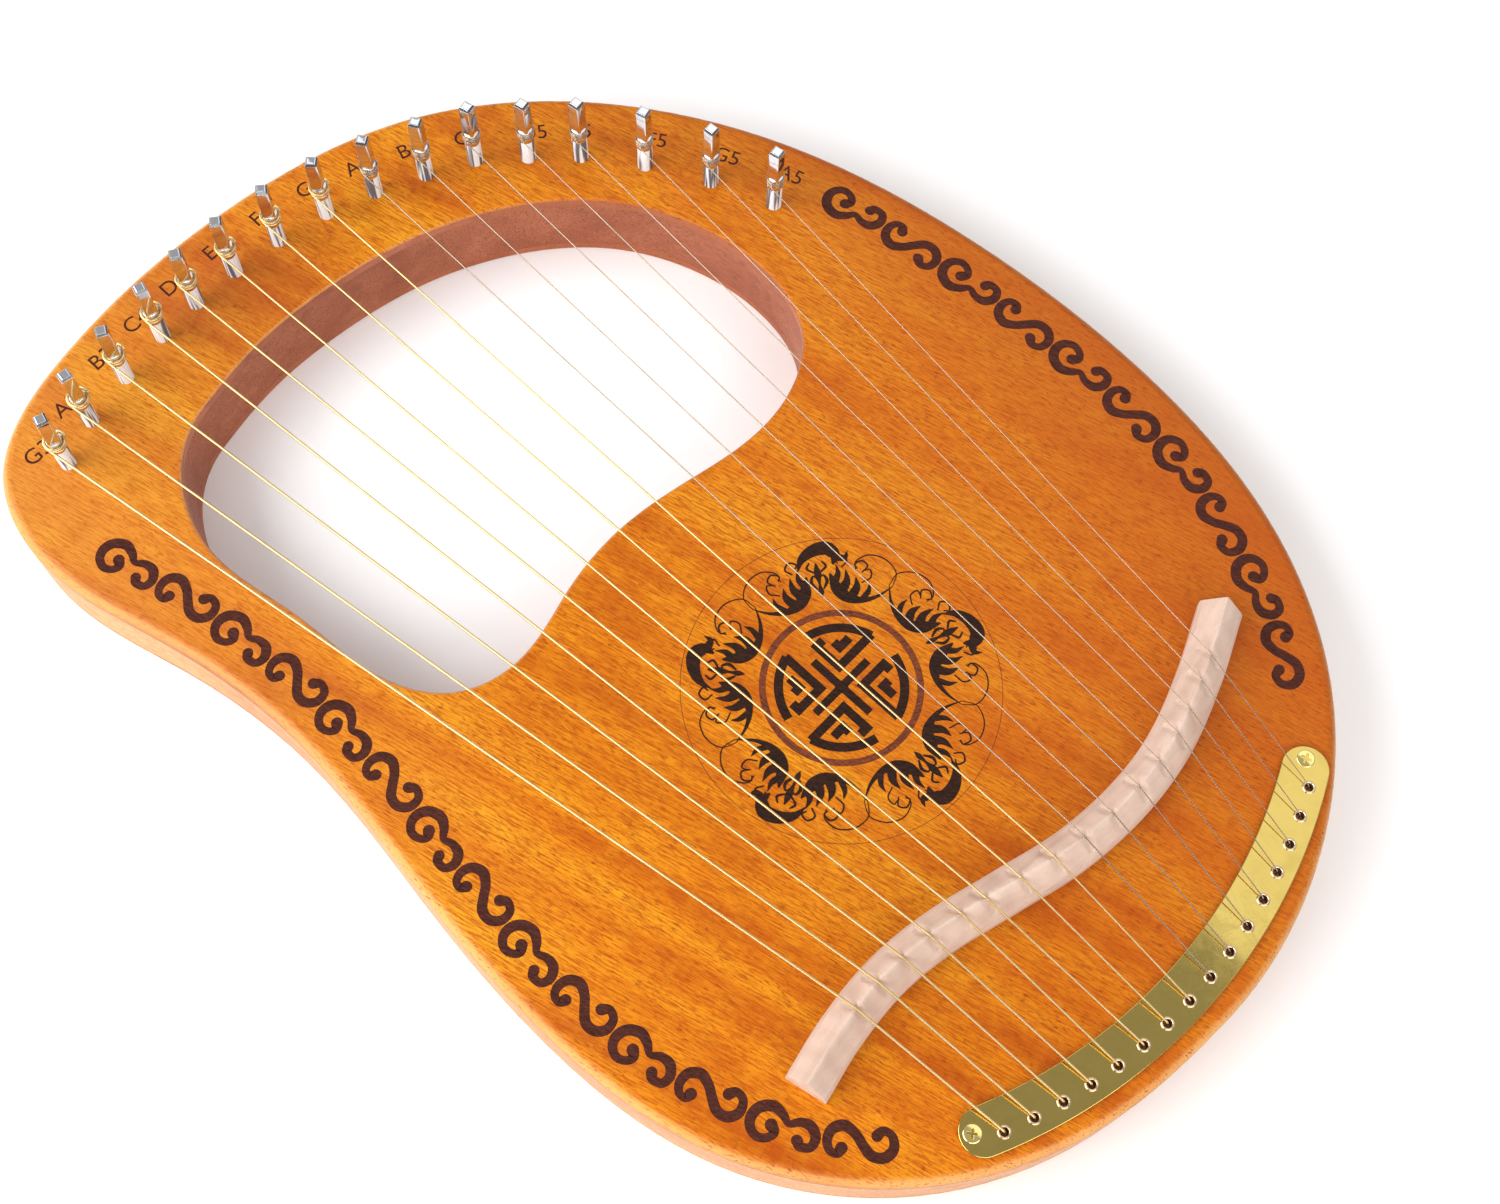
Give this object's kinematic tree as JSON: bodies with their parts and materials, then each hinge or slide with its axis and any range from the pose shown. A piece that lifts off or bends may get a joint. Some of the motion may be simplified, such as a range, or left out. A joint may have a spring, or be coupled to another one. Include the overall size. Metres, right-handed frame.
{
  "type": "lyre harp",
  "caption": "Small wooden lyre harp: rounded hollow body with a hand opening, S-shaped bridge, brass string plate, steel strings and turning tuning pins.",
  "frame": {"origin": "under the centre of the body's outline, on the plane the flat back rests on", "axes": "+Z out of the soundboard; +Y from the string plate to the tuning pins; +X to the short strings"},
  "size_m": [0.3087, 0.436, 0.066],
  "materials": {
    "face_wood": "satin lacquered mahogany with a fine dark grain, burned dark brown ornament and note names",
    "side_wood": "satin lacquered mahogany",
    "back_wood": "satin lacquered mahogany",
    "opening_wood": "satin, redder and darker than the face",
    "inner_wood": "raw",
    "bridge_wood": "smooth raw beech",
    "plate_brass": "polished",
    "screw_brass": "polished",
    "pin_steel": "nickel-plated, polished",
    "wound_string": "bronze-wound steel",
    "plain_string": "plain steel wire"
  },
  "bodies": {
    "harp": {"soundboard": "face_wood", "back_board": "back_wood", "outer_rim": "side_wood", "opening_lining": "opening_wood", "pin_block": "inner_wood", "tail_block": "inner_wood", "bridge_brace": "inner_wood", "back_brace": "inner_wood", "bridge": "bridge_wood", "string_plate": "plate_brass", "plate_screws": "screw_brass", "ball_ends": "screw_brass", "string_g3": "wound_string", "string_a3": "wound_string", "string_b3": "wound_string", "string_c4": "wound_string", "string_d4": "wound_string", "string_e4": "wound_string", "string_f4": "wound_string", "string_g4": "wound_string", "string_a4": "plain_string", "string_b4": "plain_string", "string_c5": "plain_string", "string_d5": "plain_string", "string_e5": "plain_string", "string_f5": "plain_string", "string_g5": "plain_string", "string_a5": "plain_string"},
    "pin_g3": {"tuning_pin_g3": "pin_steel", "coil_g3": "wound_string"},
    "pin_a3": {"tuning_pin_a3": "pin_steel", "coil_a3": "wound_string"},
    "pin_b3": {"tuning_pin_b3": "pin_steel", "coil_b3": "wound_string"},
    "pin_c4": {"tuning_pin_c4": "pin_steel", "coil_c4": "wound_string"},
    "pin_d4": {"tuning_pin_d4": "pin_steel", "coil_d4": "wound_string"},
    "pin_e4": {"tuning_pin_e4": "pin_steel", "coil_e4": "wound_string"},
    "pin_f4": {"tuning_pin_f4": "pin_steel", "coil_f4": "wound_string"},
    "pin_g4": {"tuning_pin_g4": "pin_steel", "coil_g4": "wound_string"},
    "pin_a4": {"tuning_pin_a4": "pin_steel", "coil_a4": "plain_string"},
    "pin_b4": {"tuning_pin_b4": "pin_steel", "coil_b4": "plain_string"},
    "pin_c5": {"tuning_pin_c5": "pin_steel", "coil_c5": "plain_string"},
    "pin_d5": {"tuning_pin_d5": "pin_steel", "coil_d5": "plain_string"},
    "pin_e5": {"tuning_pin_e5": "pin_steel", "coil_e5": "plain_string"},
    "pin_f5": {"tuning_pin_f5": "pin_steel", "coil_f5": "plain_string"},
    "pin_g5": {"tuning_pin_g5": "pin_steel", "coil_g5": "plain_string"},
    "pin_a5": {"tuning_pin_a5": "pin_steel", "coil_a5": "plain_string"}
  },
  "joints": [
    {"name": "tune_g3", "type": "hinge", "parent": "harp", "child": "pin_g3", "pos_m": [-0.1248, 0.1797, 0.033], "axis": [0, 0, -1], "range_deg": [-900, 90]},
    {"name": "tune_a3", "type": "hinge", "parent": "harp", "child": "pin_a3", "pos_m": [-0.1093, 0.1865, 0.033], "axis": [0, 0, -1], "range_deg": [-900, 90]},
    {"name": "tune_b3", "type": "hinge", "parent": "harp", "child": "pin_b3", "pos_m": [-0.0906, 0.1905, 0.033], "axis": [0, 0, -1], "range_deg": [-900, 90]},
    {"name": "tune_c4", "type": "hinge", "parent": "harp", "child": "pin_c4", "pos_m": [-0.0717, 0.1937, 0.033], "axis": [0, 0, -1], "range_deg": [-900, 90]},
    {"name": "tune_d4", "type": "hinge", "parent": "harp", "child": "pin_d4", "pos_m": [-0.0552, 0.1952, 0.033], "axis": [0, 0, -1], "range_deg": [-900, 90]},
    {"name": "tune_e4", "type": "hinge", "parent": "harp", "child": "pin_e4", "pos_m": [-0.0378, 0.1951, 0.033], "axis": [0, 0, -1], "range_deg": [-900, 90]},
    {"name": "tune_f4", "type": "hinge", "parent": "harp", "child": "pin_f4", "pos_m": [-0.019, 0.1935, 0.033], "axis": [0, 0, -1], "range_deg": [-900, 90]},
    {"name": "tune_g4", "type": "hinge", "parent": "harp", "child": "pin_g4", "pos_m": [0, 0.1897, 0.033], "axis": [0, 0, -1], "range_deg": [-900, 90]},
    {"name": "tune_a4", "type": "hinge", "parent": "harp", "child": "pin_a4", "pos_m": [0.0177, 0.1839, 0.033], "axis": [0, 0, -1], "range_deg": [-900, 90]},
    {"name": "tune_b4", "type": "hinge", "parent": "harp", "child": "pin_b4", "pos_m": [0.0351, 0.1763, 0.033], "axis": [0, 0, -1], "range_deg": [-900, 90]},
    {"name": "tune_c5", "type": "hinge", "parent": "harp", "child": "pin_c5", "pos_m": [0.0515, 0.1682, 0.033], "axis": [0, 0, -1], "range_deg": [-900, 90]},
    {"name": "tune_d5", "type": "hinge", "parent": "harp", "child": "pin_d5", "pos_m": [0.0655, 0.1557, 0.033], "axis": [0, 0, -1], "range_deg": [-900, 90]},
    {"name": "tune_e5", "type": "hinge", "parent": "harp", "child": "pin_e5", "pos_m": [0.0787, 0.1426, 0.033], "axis": [0, 0, -1], "range_deg": [-900, 90]},
    {"name": "tune_f5", "type": "hinge", "parent": "harp", "child": "pin_f5", "pos_m": [0.0922, 0.1238, 0.033], "axis": [0, 0, -1], "range_deg": [-900, 90]},
    {"name": "tune_g5", "type": "hinge", "parent": "harp", "child": "pin_g5", "pos_m": [0.1035, 0.1023, 0.033], "axis": [0, 0, -1], "range_deg": [-900, 90]},
    {"name": "tune_a5", "type": "hinge", "parent": "harp", "child": "pin_a5", "pos_m": [0.1125, 0.08, 0.033], "axis": [0, 0, -1], "range_deg": [-900, 90]}
  ]
}
